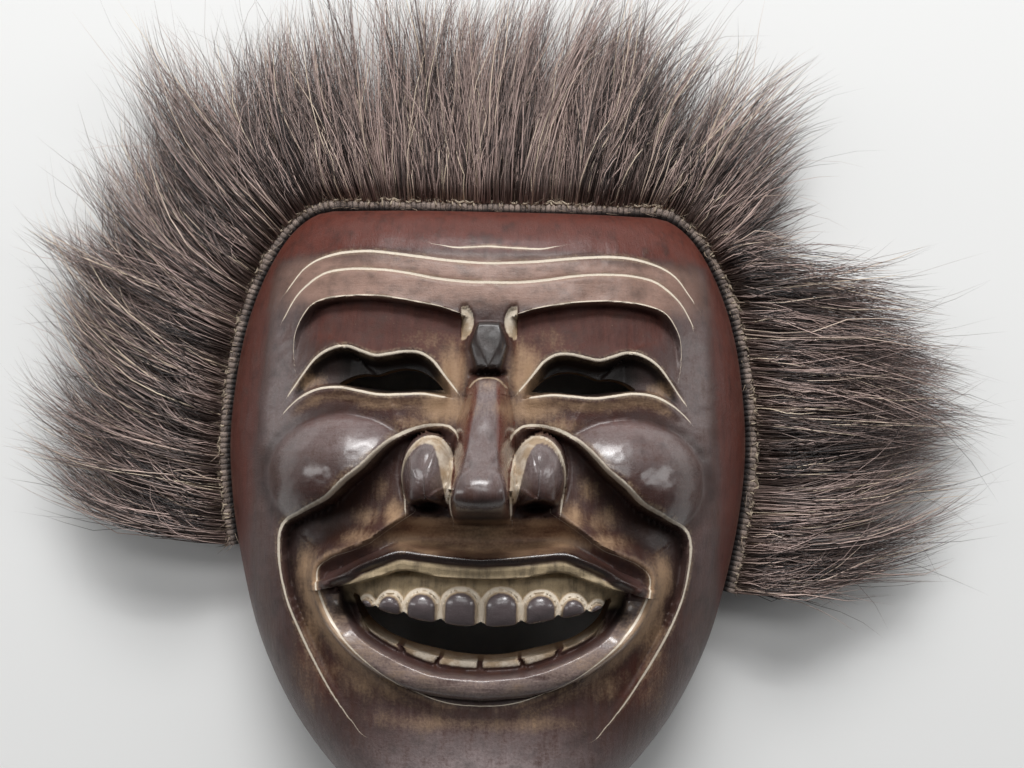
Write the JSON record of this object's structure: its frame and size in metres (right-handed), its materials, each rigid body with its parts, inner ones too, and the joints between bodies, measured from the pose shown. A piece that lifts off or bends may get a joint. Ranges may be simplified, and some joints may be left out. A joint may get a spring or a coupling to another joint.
{
  "type": "wall mask",
  "caption": "Carved and lacquered wooden mask with a laughing face, hollow behind, with a fringe of coarse hair on a bound cord round its sides and top.",
  "frame": {"origin": "under the middle of the whole object's box, on the plane of the mask's flat back rim", "axes": "+Z out of the face, +Y from chin to forehead, +X towards the right as one looks at the face"},
  "size_m": [0.3226, 0.2966, 0.0896],
  "materials": {
    "lacquered_wood": "dark brown lacquer, glossy, rubbed pale in the carved lines",
    "looped_hair": "coarse hair looped over a cord, matte",
    "thread": "dull tan twisted thread",
    "animal_hair": "coarse dark brown hair with some tan hairs, low sheen"
  },
  "bodies": {
    "root": {"wooden_mask": "lacquered_wood", "hair_band": "looped_hair", "binding_thread": "thread", "hair_left_cheek": "animal_hair", "hair_left_temple": "animal_hair", "hair_crown_left": "animal_hair", "hair_crown_middle": "animal_hair", "hair_crown_right": "animal_hair", "hair_right_temple": "animal_hair", "hair_right_cheek": "animal_hair"}
  },
  "joints": []
}
